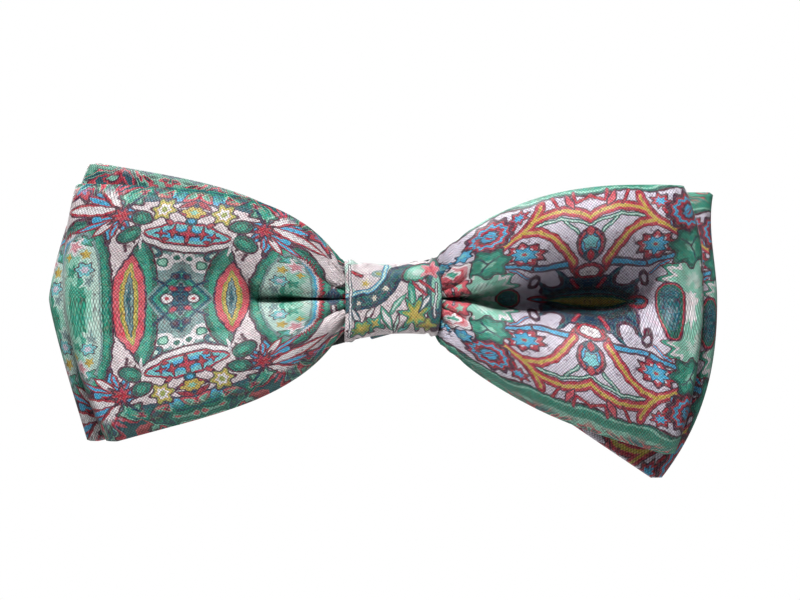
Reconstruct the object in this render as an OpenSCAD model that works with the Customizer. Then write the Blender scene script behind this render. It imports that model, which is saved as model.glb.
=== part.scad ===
// Pre-tied bow tie: two gathered loops of printed cloth under a knot band,
// with a black neck band folded up behind it, hooked closed as it is stored.
// Millimetres. X runs along the bow, Y from its face to its back, Z is up.
// The origin is on the back of the folded band, behind the middle of the knot.

/* [Front loop] */
// Upper left corner: how far out, how far up
front_left_top = [56.5, 20.5]; // [18:0.5:62]
// Lower left corner: how far out, how far down
front_left_bottom = [51, 25.5]; // [18:0.5:62]
// Upper right corner: how far out, how far up
front_right_top = [51.5, 20]; // [18:0.5:62]
// Lower right corner: how far out, how far down
front_right_bottom = [50, 27.5]; // [18:0.5:62]
// How far the left and the right end bulge past their corners
front_end_bulge = [5.5, 4]; // [0:0.5:8]

/* [Rear loop] */
// Upper left corner: how far out, how far up
rear_left_top = [54.5, 24.5]; // [18:0.5:62]
// Lower left corner: how far out, how far down
rear_left_bottom = [55, 25.5]; // [18:0.5:62]
// Upper right corner: how far out, how far up
rear_right_top = [57, 19]; // [18:0.5:62]
// Lower right corner: how far out, how far down
rear_right_bottom = [48, 32]; // [18:0.5:62]
// How far the left and the right end bulge past their corners
rear_end_bulge = [7, 5]; // [0:0.5:8]

/* [Cloth] */
// Thickness of a loop: two layers of print and the interlining
loop_t = 1.4; // [1.3:0.1:1.6]
// Thickness of one layer of print
skin_t = 0.35; // [0.3:0.01:0.38]
// Play between the interlining and the print round it
lining_play = 0.1; // [0.05:0.01:0.15]
// Half height of the loops where they are gathered
waist_h = 3.9; // [3:0.1:4]

/* [Knot] */
// Width of the knot band
knot_w = 17; // [12:0.5:20]
// Half height of the knot at its middle
knot_h = 6.25; // [6.2:0.05:8]
// How much higher the knot is at its two sides
knot_flare = 1.4; // [0.8:0.05:2]
// Half depth of the knot from face to back
knot_d = 6.2; // [6.1:0.05:6.2]
// Thickness of the knot band
knot_t = 0.8; // [0.6:0.05:0.8]
// How far the knot leans, anticlockwise from the front
knot_lean = 3.5; // [0:0.5:8]

/* [Neck band] */
// Width of the band
band_w = 10.5; // [9:0.5:12]
// Thickness of the band
band_t = 0.6; // [0.5:0.05:0.6]
// How far each folded pack reaches from the middle
fold_x = 50; // [46:0.5:52]
// Lean of the folded band, anticlockwise from the front
band_lean = 15.5; // [0:0.5:20]

/* [Hardware] */
// Radius of the hook's and the eye's wire
wire_r = 0.4; // [0.35:0.01:0.4]
// Length of the slider along the band
slider_l = 8; // [6:0.5:9]
// Width of the keeper loop along the band
keeper_w = 12; // [8:0.5:13]

/* [Hidden] */
$fn = 48;

print_pink = "#d8c4cc";
print_teal = "#4f9a8a";
lining_white = "#e9e4da";
thread_white = "#d9d4cb";
band_black = "#1a1a20";
metal_pale = "#c9c6bd";

// Depths of the four cloth layers at the waist, from the back to the face
layer_pitch = 1.8;
rear_loop_back_y = -10.5;
rear_loop_face_y = rear_loop_back_y - layer_pitch;
front_loop_back_y = rear_loop_face_y - layer_pitch;
front_loop_face_y = front_loop_back_y - layer_pitch;
knot_y = (rear_loop_back_y + front_loop_face_y) / 2;
waist_x = knot_w / 2;
waist_rise = 1.3;

// A loop's shape: corners, end bulges, the depths of its back and face at the
// waist, the depth of its ends, their fold radius, and how far back and face belly
left_corners = 0;
right_corners = 1;
end_bulges = 2;
waist_depths = 3;
end_depth = 4;
fold_radius = 5;
bellies = 6;
front_shape = [[front_left_top, front_left_bottom], [front_right_top, front_right_bottom],
               front_end_bulge, [front_loop_back_y, front_loop_face_y], -17, 1.6, [0, 6.2]];
rear_shape = [[rear_left_top, rear_left_bottom], [rear_right_top, rear_right_bottom],
              rear_end_bulge, [rear_loop_back_y, rear_loop_face_y], -11.2, 1.5, [2.9, 0.2]];

// How an edge climbs from the waist to a corner: a quick rise, then a steady one
edge_power = 4;
edge_steady = 0.3;

// Stations round a loop: 0 to 1 along the face, 1 to 2 round the end's fold,
// 2 to 3 back along the back
sheet_steps = 10;
fold_steps = 6;
half_turn = concat(
    [for (i = [0 : sheet_steps]) pow(i / sheet_steps, 1.5)],
    [for (i = [1 : fold_steps - 1]) 1 + i / fold_steps],
    [for (i = [0 : sheet_steps]) 3 - pow(1 - i / sheet_steps, 1.5)]);
last = len(half_turn) - 1;
stations = concat(
    [for (i = [0 : last]) [1, half_turn[i]]],
    [for (i = [last - 1 : -1 : 1]) [-1, half_turn[i]]]);

function mix(a, b, t) = a + (b - a) * t;
function ease(t) = t * t * (3 - 2 * t);
function clamp01(t) = min(1, max(0, t));

// Height of a loop's edge at a distance x from the middle
function gathered_h(x) = waist_h + waist_rise * pow(min(x, waist_x) / waist_x, 2);
function climb(t) = (1 - edge_steady) * (1 - pow(1 - t, edge_power)) + edge_steady * t;
function edge_h(x, end_x, corner_h) =
    gathered_h(x) + (corner_h - waist_h - waist_rise) * climb(clamp01((x - waist_x) / (end_x - waist_x)));

// A point on a loop's middle surface; v runs from -1 at the lower edge to 1 at the upper
function end_reach(shape, side, v) =
    let (corners = shape[side > 0 ? right_corners : left_corners])
    mix(corners[1][0], corners[0][0], (v + 1) / 2)
    + shape[end_bulges][side > 0 ? 1 : 0] * (1 - v * v) - shape[fold_radius];
function sheet_y(shape, t, v, face) =
    let (q = clamp01((t - 0.17) / 0.83),
         way = face ? -1 : 1,
         belly = shape[bellies][face ? 1 : 0] * pow(sin(180 * pow(q, 0.8)), 2))
    mix(shape[waist_depths][face ? 1 : 0], shape[end_depth] + way * shape[fold_radius], ease(q))
    + way * belly * (0.55 + 0.45 * (1 - v * v));
function loop_point(shape, side, s, v) =
    let (reach = end_reach(shape, side, v),
         t = s <= 1 ? s : s >= 2 ? 3 - s : 1,
         turn = 90 - 180 * (s - 1),
         on_fold = s > 1 && s < 2,
         x = on_fold ? reach + shape[fold_radius] * cos(turn) : t * reach,
         y = on_fold ? shape[end_depth] - shape[fold_radius] * sin(turn) : sheet_y(shape, t, v, s <= 1),
         corner = shape[side > 0 ? right_corners : left_corners][v > 0 ? 0 : 1])
    [side * x, y, v * edge_h(t * reach, reach, corner[1])];

// The direction out of the loop at a point
function loop_normal(shape, side, s, v) =
    let (e = 0.01,
         along = loop_point(shape, side, min(3, s + e), v) - loop_point(shape, side, max(0, s - e), v),
         across = loop_point(shape, side, s, min(1, v + e)) - loop_point(shape, side, s, max(-1, v - e)),
         n = side * cross(along, across))
    n / norm(n);

// A band of cloth swept round a loop; section is a list of [offset outwards, v]
module loop_sweep(shape, section) {
    n = len(section);
    m = len(stations);
    points = [for (st = stations, c = section)
        loop_point(shape, st[0], st[1], c[1]) + c[0] * loop_normal(shape, st[0], st[1], c[1])];
    faces = [for (i = [0 : m - 1], j = [0 : n - 1])
        let (i2 = (i + 1) % m, j2 = (j + 1) % n,
             a = i * n + j, b = i * n + j2, c = i2 * n + j2, d = i2 * n + j,
             climbs = section[j2][1] > section[j][1])
        each climbs ? [[a, b, c], [a, c, d]] : [[b, c, d], [b, d, a]]];
    polyhedron(points, faces);
}

// The print goes round the interlining and its edges meet along the inside
module cloth_tube(shape) {
    o = loop_t / 2;
    i = o - skin_t;
    loop_sweep(shape, [
        [-o, 0.03], [-o, 0.6], [-o, 0.96], [0, 1], [o, 0.96], [o, 0.6], [o, 0],
        [o, -0.6], [o, -0.96], [0, -1], [-o, -0.96], [-o, -0.6], [-o, -0.03],
        [-i, -0.03], [-i, -0.6], [-i, -0.85], [-i, -0.92], [i, -0.92], [i, -0.85],
        [i, -0.6], [i, 0], [i, 0.6], [i, 0.85], [i, 0.92], [-i, 0.92], [-i, 0.85],
        [-i, 0.6], [-i, 0.03]]);
}

module interlining(shape) {
    o = loop_t / 2 - skin_t - lining_play;
    loop_sweep(shape, [
        [o, 0.85], [o, 0.6], [o, 0], [o, -0.6], [o, -0.85],
        [-o, -0.85], [-o, -0.6], [-o, 0], [-o, 0.6], [-o, 0.85]]);
}

module front_loop() {
    color(print_teal) cloth_tube(front_shape);
}

module front_interlining() {
    color(lining_white) interlining(front_shape);
}

module rear_loop() {
    color(print_pink) cloth_tube(rear_shape);
}

module rear_interlining() {
    color(lining_white) interlining(rear_shape);
}

// Points round a rectangle with rounded corners, in Y and Z
corner_steps = 5;
function round_box(half_y, half_z, r) = [
    for (corner = [0 : 3], i = [0 : corner_steps])
        let (a = 90 * (corner + i / corner_steps),
             cy = (corner == 0 || corner == 3 ? 1 : -1) * (half_y - r),
             cz = (corner < 2 ? 1 : -1) * (half_z - r))
        [cy + r * cos(a), cz + r * sin(a)]];

// A saddle-shaped band round the waist, between two depths under the knot's surface
knot_corner = 2.6;
knot_steps = 8;
function saddle_h(x) = knot_h + knot_flare * pow(x / waist_x, 2);
module saddle_band(outer, inner, half_w) {
    xs = [for (i = [0 : knot_steps]) mix(-half_w, half_w, i / knot_steps)];
    rows = concat([for (x = xs) [x, outer]], [for (i = [knot_steps : -1 : 0]) [xs[i], inner]]);
    rings = [for (row = rows)
        round_box(knot_d - row[1], saddle_h(row[0]) - row[1], knot_corner - row[1])];
    n = len(rows);
    m = 4 * (corner_steps + 1);
    points = [for (k = [0 : m - 1], j = [0 : n - 1]) [rows[j][0], rings[j][k][0], rings[j][k][1]]];
    faces = [for (k = [0 : m - 1], j = [0 : n - 1])
        let (k2 = (k + 1) % m, j2 = (j + 1) % n)
        each [[k * n + j, k * n + j2, k2 * n + j2], [k * n + j, k2 * n + j2, k2 * n + j]]];
    translate([0, knot_y, 0]) polyhedron(points, faces);
}

lining_t = 0.5;
module knot_band() {
    color(print_pink) rotate([0, -knot_lean, 0]) saddle_band(0, knot_t, waist_x);
}

module knot_interlining() {
    top = knot_t + lining_play;
    color(lining_white) rotate([0, -knot_lean, 0]) saddle_band(top, top + lining_t, waist_x - 0.8);
}

// Four turns of strong thread that draw the loops in
thread_r = 0.25;
thread_sides = 6;
thread_gap = 0.1;
module thread_turn(x) {
    stack = (rear_loop_back_y - front_loop_face_y + loop_t) / 2;
    out = thread_gap + thread_r;
    path = round_box(stack + out, gathered_h(abs(x)) + out, 0.5);
    m = len(path);
    points = [for (k = [0 : m - 1], j = [0 : thread_sides - 1])
        let (ahead = path[(k + 1) % m] - path[(k + m - 1) % m],
             n = [ahead[1], -ahead[0]] / norm(ahead),
             a = 360 * j / thread_sides)
        [x + thread_r * sin(a), path[k][0] + n[0] * thread_r * cos(a), path[k][1] + n[1] * thread_r * cos(a)]];
    faces = [for (k = [0 : m - 1], j = [0 : thread_sides - 1])
        let (k2 = (k + 1) % m, j2 = (j + 1) % thread_sides)
        each [[k * thread_sides + j, k * thread_sides + j2, k2 * thread_sides + j2],
              [k * thread_sides + j, k2 * thread_sides + j2, k2 * thread_sides + j]]];
    translate([0, knot_y, 0]) polyhedron(points, faces);
}

module gather_thread() {
    color(thread_white) for (x = [-4.5, -1.5, 1.5, 4.5]) thread_turn(x);
}

// One stitch: a short round bar with round ends, lying along Z
module stitch(length, r) {
    cylinder(h = length, r = r, center = true);
    for (end = [-1, 1]) translate([0, 0, end * length / 2]) sphere(r);
}

stitch_r = 0.2;
module waist_stitches() {
    y = front_loop_face_y - loop_t / 2 - 0.05 - stitch_r;
    color(thread_white) for (z = [-2.2, 0, 2.2])
        translate([0, y, z]) rotate([0, 90, 0]) stitch(1.8, stitch_r);
}

module knot_stitches() {
    y = knot_y + knot_d + 0.05 + stitch_r;
    color(thread_white) rotate([0, -knot_lean, 0]) for (x = [-7.2, -4.8, -2.4, 2.4, 4.8, 7.2])
        translate([x, y, 1.5]) stitch(2, stitch_r);
}

// Depths of the folded band, from the knot to the back. The first layer runs
// through the keeper; the others are stacked behind it.
layer_gap = 0.1;
first_y = -5;
second_y = -3.4;
function stack_y(layer) = layer == 1 ? first_y : second_y + (layer - 2) * (band_t + layer_gap);
lifted_y = 0.4;
tail_y = 1.3;
band_h = band_w / 2;
left_inner_x = -17;
right_inner_x = 30;
eye_x = 13;
hook_x = 28;
pin_play = 0.1;
pin_turn = wire_r + pin_play + band_t / 2;
eye_y = stack_y(6) + band_t / 2 - pin_turn;
hook_y = lifted_y + band_t / 2 + pin_turn;
tail_level_x = 32;
tail_end_x = 46;
hem_l = 2;
hem_t = 1.1;

module leaned() {
    rotate([0, -band_lean, 0]) children();
}

module flat_run(x1, x2, y) {
    translate([min(x1, x2), y]) square([abs(x2 - x1), band_t]);
}

// Half a turn of the band between two layers; way is 1 when it bulges towards +X
module half_turn_2d(x, y1, y2, way) {
    r = abs(y2 - y1) / 2;
    out = r + band_t / 2;
    translate([x, (y1 + y2 + band_t) / 2]) difference() {
        circle(out);
        circle(r - band_t / 2);
        translate([way > 0 ? -2 * out : 0, -2 * out]) square([2 * out, 4 * out]);
    }
}

module band_path() {
    flat_run(-fold_x, fold_x, stack_y(1));
    for (way = [-1, 1]) {
        inner = way < 0 ? left_inner_x : right_inner_x;
        last_y = way < 0 ? stack_y(6) : lifted_y;
        for (layer = [2 : 5]) flat_run(way * fold_x, inner, stack_y(layer));
        half_turn_2d(way * fold_x, stack_y(1), stack_y(2), way);
        half_turn_2d(inner, stack_y(2), stack_y(3), -way);
        half_turn_2d(way * fold_x, stack_y(3), stack_y(4), way);
        half_turn_2d(inner, stack_y(4), stack_y(5), -way);
        half_turn_2d(way * fold_x, stack_y(5), last_y, way);
    }
    flat_run(-fold_x, eye_x, stack_y(6));
    half_turn_2d(eye_x, stack_y(6) - 2 * pin_turn, stack_y(6), 1);
    flat_run(eye_x, eye_x - 7, stack_y(6) - 2 * pin_turn);
    flat_run(fold_x, hook_x, lifted_y);
    half_turn_2d(hook_x, lifted_y, lifted_y + 2 * pin_turn, -1);
    top = lifted_y + 2 * pin_turn;
    polygon([[hook_x, top], [tail_level_x, tail_y], [tail_level_x, tail_y + band_t], [hook_x, top + band_t]]);
    flat_run(tail_level_x, tail_end_x, tail_y);
    translate([tail_end_x, tail_y]) square([hem_l, hem_t]);
}

module neck_band() {
    color(band_black) leaned() linear_extrude(band_w, center = true) band_path();
}

module band_eye_stitches() {
    below = stack_y(6) - 2 * pin_turn + band_t;
    gap = stack_y(6) - below;
    color(band_black) leaned() for (z = [-4 : 2 : 4], x = [eye_x - 5.8, eye_x - 3.8])
        translate([x, below + gap / 2, z]) rotate([90, 0, 0]) cylinder(h = gap - 0.1, r = stitch_r, center = true);
}

module band_tip_stitches() {
    color(band_black) leaned() for (z = [-4 : 2 : 4])
        translate([tail_end_x + hem_l / 2, tail_y + hem_t + 0.05 + stitch_r, z]) stitch(1.2, stitch_r);
}

module rounded_square(w, h, r) {
    square([w - 2 * r, h], center = true);
    square([w, h - 2 * r], center = true);
    for (x = [-1, 1], y = [-1, 1]) translate([x * (w / 2 - r), y * (h / 2 - r)]) circle(r);
}

// The keeper: a flat loop of print, tacked to the back of the knot
keeper_back_y = -3.7;
keeper_face_y = -6.1;
keeper_face_t = 0.5;
keeper_back_t = 0.4;
side_play = 0.3;
tack_r = 0.6;
tack_fit = 0.05;
module keeper_loop() {
    outer_d = keeper_back_y - keeper_face_y;
    inner_d = outer_d - keeper_face_t - keeper_back_t;
    inner_h = band_h + side_play;
    color(print_pink) leaned() difference() {
        translate([0, (keeper_back_y + keeper_face_y) / 2, 0]) rotate([90, 0, 90])
            linear_extrude(keeper_w, center = true) rounded_square(outer_d, 2 * inner_h + 1, 0.9);
        translate([0, keeper_face_y + keeper_face_t + inner_d / 2, 0]) rotate([90, 0, 90])
            linear_extrude(keeper_w + 1, center = true) rounded_square(inner_d, 2 * inner_h, 0.5);
        translate([0, keeper_face_y + 0.7, 0]) rotate([90, 0, 0]) cylinder(h = 1.2, r = tack_r + tack_fit);
    }
}

module keeper_tack() {
    knot_back_y = knot_y + knot_d;
    head_y = keeper_face_y + keeper_face_t + 0.05;
    color(thread_white) {
        translate([0, head_y, 0]) rotate([90, 0, 0]) cylinder(h = head_y - knot_back_y - 0.05, r = tack_r);
        translate([0, head_y + 0.25, 0]) rotate([90, 0, 0]) cylinder(h = 0.25, r = 1.1);
    }
}

// A rounded rectangle of round wire in the X-Z plane, from x1 to x2
module wire_ring(x1, x2, half_z, corner) {
    for (x = [x1, x2])
        translate([x, 0, 0]) cylinder(h = 2 * (half_z - corner), r = wire_r, center = true);
    for (z = [-1, 1])
        translate([(x1 + x2) / 2, 0, z * half_z]) rotate([0, 90, 0])
            cylinder(h = x2 - x1 - 2 * corner, r = wire_r, center = true);
    for (z = [0, 1], x = [0, 1]) mirror([0, 0, z])
        translate([x == 0 ? x1 + corner : x2 - corner, 0, half_z - corner]) mirror([1 - x, 0, 0])
            rotate([90, 0, 0]) rotate_extrude(angle = 90) translate([corner, 0]) circle(wire_r);
}

rail_z = band_h + side_play + wire_r;
eye_far_x = 20;
module eye() {
    color(metal_pale) leaned() translate([0, eye_y, 0]) wire_ring(eye_x, eye_far_x, rail_z, 1.2);
}

// The hook: a wire ring on the band with a flat tongue bent down into the eye
tongue_w = 5;
tongue_t = 0.6;
tongue_tip_x = 18.2;
tongue_tip_y = -2.2;
ring_back_x = 24.9;
tongue_bend_r = 0.3;
module tongue_2d() {
    bend_x = tongue_tip_x + tongue_t + tongue_bend_r;
    bend_y = hook_y - tongue_t / 2 - tongue_bend_r;
    translate([bend_x, hook_y - tongue_t / 2]) square([ring_back_x - bend_x, tongue_t]);
    translate([bend_x, bend_y]) intersection() {
        difference() {
            circle(tongue_bend_r + tongue_t);
            circle(tongue_bend_r);
        }
        translate([-2, 0]) square([2, 2]);
    }
    translate([tongue_tip_x, tongue_tip_y + tongue_t / 2]) square([tongue_t, bend_y - tongue_tip_y - tongue_t / 2]);
    translate([tongue_tip_x + tongue_t / 2, tongue_tip_y + tongue_t / 2]) circle(tongue_t / 2);
}
module hook() {
    color(metal_pale) leaned() {
        translate([0, hook_y, 0]) wire_ring(ring_back_x, hook_x, rail_z, 0.8);
        linear_extrude(tongue_w, center = true) tongue_2d();
    }
}

// The slider: two end bars over the doubled band and a middle bar under it
slider_x = 39;
slider_play = 0.2;
slider_bar_t = 0.65;
slider_rail = 1.1;
slider_end_bar = 1.2;
slider_mid_bar = 1.6;
module slider() {
    inner_z = band_h + side_play;
    outer_z = inner_z + slider_rail;
    over_y = tail_y + band_t + slider_play;
    under_y = lifted_y - slider_play - slider_bar_t;
    color(metal_pale) leaned() translate([slider_x, 0, 0]) {
        translate([0, over_y + slider_bar_t, 0]) rotate([90, 0, 0]) linear_extrude(slider_bar_t) difference() {
            rounded_square(slider_l, 2 * outer_z, 1);
            square([slider_l - 2 * slider_end_bar, 2 * inner_z], center = true);
        }
        for (side = [-1, 1])
            translate([-slider_mid_bar / 2, under_y, side > 0 ? inner_z : -outer_z])
                cube([slider_mid_bar, over_y + slider_bar_t - under_y, slider_rail]);
        translate([-slider_mid_bar / 2, under_y, -outer_z]) cube([slider_mid_bar, slider_bar_t, 2 * outer_z]);
    }
}

front_loop();
front_interlining();
rear_loop();
rear_interlining();
knot_band();
knot_interlining();
gather_thread();
waist_stitches();
knot_stitches();
keeper_loop();
keeper_tack();
neck_band();
band_eye_stitches();
band_tip_stitches();
slider();
hook();
eye();
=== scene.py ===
# %% [markdown]
# # Pre-tied bow tie of printed satin
# Two gathered loops of printed cloth make four wings, a knot band hides the
# gathering, and a black neck band is folded up and hooked closed behind.
# The frame gives the places; this script gives the cloth its folds, its
# print, its weave and its light. The frame is in metres, shapes here are
# drawn in millimetres and scaled once, when a mesh is made.

# %% load the frame
import math

import bpy
import numpy as np
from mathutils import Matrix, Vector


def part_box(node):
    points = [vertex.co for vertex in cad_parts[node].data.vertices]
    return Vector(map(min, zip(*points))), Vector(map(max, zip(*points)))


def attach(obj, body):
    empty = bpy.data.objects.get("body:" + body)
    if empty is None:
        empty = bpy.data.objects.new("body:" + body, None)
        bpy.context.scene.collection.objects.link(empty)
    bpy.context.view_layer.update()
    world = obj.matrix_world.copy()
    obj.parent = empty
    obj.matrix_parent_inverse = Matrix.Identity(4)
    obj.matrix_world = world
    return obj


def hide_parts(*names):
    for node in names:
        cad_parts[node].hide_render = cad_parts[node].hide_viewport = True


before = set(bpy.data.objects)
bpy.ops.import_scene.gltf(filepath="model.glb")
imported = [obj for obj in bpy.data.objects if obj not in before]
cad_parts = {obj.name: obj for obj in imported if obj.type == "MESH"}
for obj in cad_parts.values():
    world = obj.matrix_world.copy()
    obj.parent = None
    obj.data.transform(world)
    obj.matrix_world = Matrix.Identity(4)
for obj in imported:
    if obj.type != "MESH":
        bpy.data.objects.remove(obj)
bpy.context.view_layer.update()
MM = 0.001


# %% [markdown]
# ## Camera
# The bow is seen straight on, as a product shot, from most of a metre away,
# so its far wing edges keep their size.

# %% camera
CAMERA_AWAY = 700.0
VIEW_WIDTH = 142.9
SENSOR = 36.0
FACE_Y = -17.0
camera_data = bpy.data.cameras.new("camera")
camera_data.sensor_width = SENSOR
camera_data.lens = SENSOR * CAMERA_AWAY / VIEW_WIDTH
camera_data.clip_start = 0.01
camera_data.clip_end = 50
camera = bpy.data.objects.new("camera", camera_data)
camera.location = (1.1 * MM, (FACE_Y - CAMERA_AWAY) * MM, -0.2 * MM)
camera.rotation_euler = (math.pi / 2, 0, 0)
bpy.context.collection.objects.link(camera)
bpy.context.scene.camera = camera


# %% [markdown]
# ## Depths taken from the frame
# The knot band's box gives the middle of the waist, and the loops lie in
# four layers through it.

# %% depths and widths
def middle_mm(node):
    low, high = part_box(node)
    return [(a + b) / 2 / MM for a, b in zip(low, high)]


KNOT_Y = middle_mm("knot_band")[1]
LAYER = 1.8
FRONT_FACE_Y = KNOT_Y - 1.5 * LAYER
FRONT_BACK_Y = KNOT_Y - 0.5 * LAYER
REAR_FACE_Y = KNOT_Y + 0.5 * LAYER
REAR_BACK_Y = KNOT_Y + 1.5 * LAYER
WAIST_X = 8.5
CLOTH_T = 1.2
BAND_LEAN = math.radians(15.5)
print("knot middle depth, mm:", round(KNOT_Y, 2))


# %% helpers for shapes
def smooth(t):
    t = np.clip(t, 0, 1)
    return t * t * (3 - 2 * t)


def mix(a, b, t):
    return a + (b - a) * t


def through(x, stops):
    """A curve through (x, value) stops, level at each stop."""
    x = np.asarray(x, dtype=float)
    out = np.full(x.shape, float(stops[0][1]))
    for (x0, a), (x1, b) in zip(stops, stops[1:]):
        out = np.where(x > x0, mix(a, b, smooth((x - x0) / (x1 - x0))), out)
    return out


def leaned(points, angle):
    """Points in mm turned anticlockwise, seen from the face."""
    c, s = math.cos(angle), math.sin(angle)
    x, y, z = points[..., 0], points[..., 1], points[..., 2]
    return np.stack([x * c - z * s, y, x * s + z * c], axis=-1)


def new_piece(name, points, faces, uv=None, materials=(), indices=None):
    mesh = bpy.data.meshes.new(name)
    mesh.from_pydata((points.reshape(-1, 3) * MM).tolist(), [], faces.tolist())
    if uv is not None:
        layer = mesh.uv_layers.new(name="cloth_mm")
        layer.data.foreach_set("uv", uv.astype(np.float32).ravel())
    for material in materials:
        mesh.materials.append(material)
    if indices is not None:
        mesh.polygons.foreach_set("material_index", indices.astype(np.int32))
    mesh.polygons.foreach_set("use_smooth", [True] * len(mesh.polygons))
    mesh.update()
    piece = bpy.data.objects.new(name, mesh)
    bpy.context.collection.objects.link(piece)
    return piece


def ring_faces(rows, columns, closed_rows=True):
    """Quads over a grid whose columns close round, and whose rows may too."""
    last = rows if closed_rows else rows - 1
    i, j = np.meshgrid(np.arange(last), np.arange(columns), indexing="ij")
    i2, j2 = (i + 1) % rows, (j + 1) % columns
    quads = [i * columns + j, i2 * columns + j, i2 * columns + j2, i * columns + j2]
    return np.stack(quads, axis=-1).reshape(-1, 4)


def ring_uv(uv):
    """Corner UVs for ring_faces, from a grid with one more row and column."""
    corners = [uv[:-1, :-1], uv[1:, :-1], uv[1:, 1:], uv[:-1, 1:]]
    return np.stack(corners, axis=2).reshape(-1, 2)


# %% [markdown]
# ## Shader helpers
# One function adds a node, sets it and links it. Inks are written as sRGB
# hex and turned to linear light by one function.

# %% shader helpers
def ink(code):
    parts = [int(code[i:i + 2], 16) / 255 for i in (0, 2, 4)]
    return tuple(c / 12.92 if c <= 0.04045 else ((c + 0.055) / 1.055) ** 2.4 for c in parts) + (1.0,)


def add(tree, kind, inputs=None, **settings):
    made = tree.nodes.new("ShaderNode" + kind)
    for key, value in settings.items():
        setattr(made, key, value)
    for key, value in (inputs or {}).items():
        if isinstance(value, bpy.types.NodeSocket):
            tree.links.new(value, made.inputs[key])
        else:
            made.inputs[key].default_value = value
    return made


def math_node(tree, operation, *values, clamp=False):
    return add(tree, "Math", dict(enumerate(values)), operation=operation, use_clamp=clamp).outputs[0]


def vector_node(tree, operation, *values):
    made = add(tree, "VectorMath", dict(enumerate(values)), operation=operation)
    return made.outputs["Value"] if operation in ("LENGTH", "DOT_PRODUCT") else made.outputs["Vector"]


def blend_colour(tree, factor, a, b, mode="MIX"):
    made = add(tree, "Mix", {0: factor, 6: a, 7: b}, data_type="RGBA", blend_type=mode)
    return made.outputs[2]


def new_material(name):
    material = bpy.data.materials.new(name)
    material.use_nodes = True
    tree = material.node_tree
    return material, tree, tree.nodes["Principled BSDF"]


# %% [markdown]
# ## Print: shapes of ink
# The cloth is a digital print of mirrored flowers and paisley. Each motif is
# a field that is 0 at its middle and EDGE at its outline; a colour ramp over
# the field gives nested rings of ink and, past the outline, nothing. Motifs
# are laid one over the other, as screens of ink are. A shader field keeps
# the print sharp at any distance and needs no picture.

# %% print helpers
EDGE = 0.8
INKS = {
    "blush": "E3D3D6", "lilac": "D6CBDA", "cream": "E6DAC8", "white": "ECE4E6",
    "mint": "8FCDB6", "pale": "BFDCD0", "green": "2F9A7E", "deep": "136556",
    "teal": "1F5866", "navy": "17304E", "aqua": "74C6CB", "sky": "45AEDB",
    "red": "BA1F38", "wine": "521534", "coral": "DC4F5F", "rose": "E0929C",
    "gold": "CDAF46", "olive": "9CA446", "night": "0F1828", "grey": "7F9C9B",
}
SOFT = 0.11
OUTLINE = 0.32
NO_OUTLINE = ("wine", "navy", "night", "white", "pale", "mint", "cream", "grey", "lilac", "rose")


def field(tree, point, kind, centre, size, turn=0.0, points=5, depth=0.3):
    """Distance from a motif's middle: EDGE at its outline."""
    stretch = EDGE if kind == "lens" else 1.0
    scale = (size[0] * stretch / EDGE, size[1] * stretch / EDGE, 1)
    local = add(tree, "Mapping", {"Vector": point, "Location": (centre[0], centre[1], 0),
                                  "Rotation": (0, 0, math.radians(turn)), "Scale": scale},
                vector_type="TEXTURE").outputs[0]
    if kind == "round":
        return vector_node(tree, "LENGTH", local)
    if kind == "diamond":
        return vector_node(tree, "DOT_PRODUCT", vector_node(tree, "ABSOLUTE", local), (1, 1, 0))
    parts = add(tree, "SeparateXYZ", {0: local})
    if kind == "lens":
        reach = math_node(tree, "MULTIPLY_ADD", parts.outputs[1], parts.outputs[1],
                          math_node(tree, "ABSOLUTE", parts.outputs[0]))
        return math_node(tree, "MULTIPLY", reach, EDGE)
    angle = math_node(tree, "ARCTAN2", parts.outputs[1], parts.outputs[0])
    wave = math_node(tree, "COSINE", math_node(tree, "MULTIPLY", angle, float(points)))
    swell = math_node(tree, "MULTIPLY_ADD", wave, -depth, 1.0)
    return math_node(tree, "MULTIPLY", vector_node(tree, "LENGTH", local), swell)


def stroke_field(tree, point, start, end, width):
    """Distance from a line between two points: EDGE at half the width."""
    run = (end[0] - start[0], end[1] - start[1], 0)
    square = run[0] ** 2 + run[1] ** 2
    offset = vector_node(tree, "SUBTRACT", point, (start[0], start[1], 0))
    along = vector_node(tree, "DOT_PRODUCT", offset, tuple(c / square for c in run))
    along = math_node(tree, "MULTIPLY", along, 1.0, clamp=True)
    nearest = add(tree, "VectorMath", {0: run, "Scale": along}, operation="SCALE").outputs[0]
    away = vector_node(tree, "LENGTH", vector_node(tree, "SUBTRACT", offset, nearest))
    return math_node(tree, "MULTIPLY", away, 2 * EDGE / width)


def path_field(tree, point, lines, width):
    """Distance from a branching line: EDGE at half the width."""
    nearest = None
    for line in lines:
        for start, end in zip(line, line[1:]):
            away = stroke_field(tree, point, start, end, width)
            nearest = away if nearest is None else math_node(tree, "MINIMUM", nearest, away)
    return nearest


def ramp_of(tree, value, marks):
    """A colour ramp with (place, colour) marks."""
    ramp = add(tree, "ValToRGB", {0: value})
    stops = ramp.color_ramp.elements
    for n, (place, colour) in enumerate(marks):
        place = min(max(place, 0.0), 1.0)
        stop = stops[n] if n < 2 else stops.new(place)
        stop.position = place
        stop.color = colour
    return ramp


def lay(tree, under, distance, rings, size):
    """Paints nested rings of ink, and a fine dark line round them, over what is under."""
    per_mm = EDGE / size
    if rings[-1][1] not in NO_OUTLINE:
        rings = rings + ((1 + OUTLINE / size, "wine"),)
    soft = SOFT * per_mm / 2
    inner, marks = 0.0, []
    for reach, name in rings:
        reach = min(reach * EDGE, 0.985)
        marks.append((inner + soft if marks else 0.0, ink(INKS[name])))
        marks.append((reach - soft, ink(INKS[name])))
        inner = reach
    marks.append((inner + soft, marks[-1][1][:3] + (0.0,)))
    ramp = ramp_of(tree, distance, marks)
    return blend_colour(tree, ramp.outputs["Alpha"], under, ramp.outputs["Color"])


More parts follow.
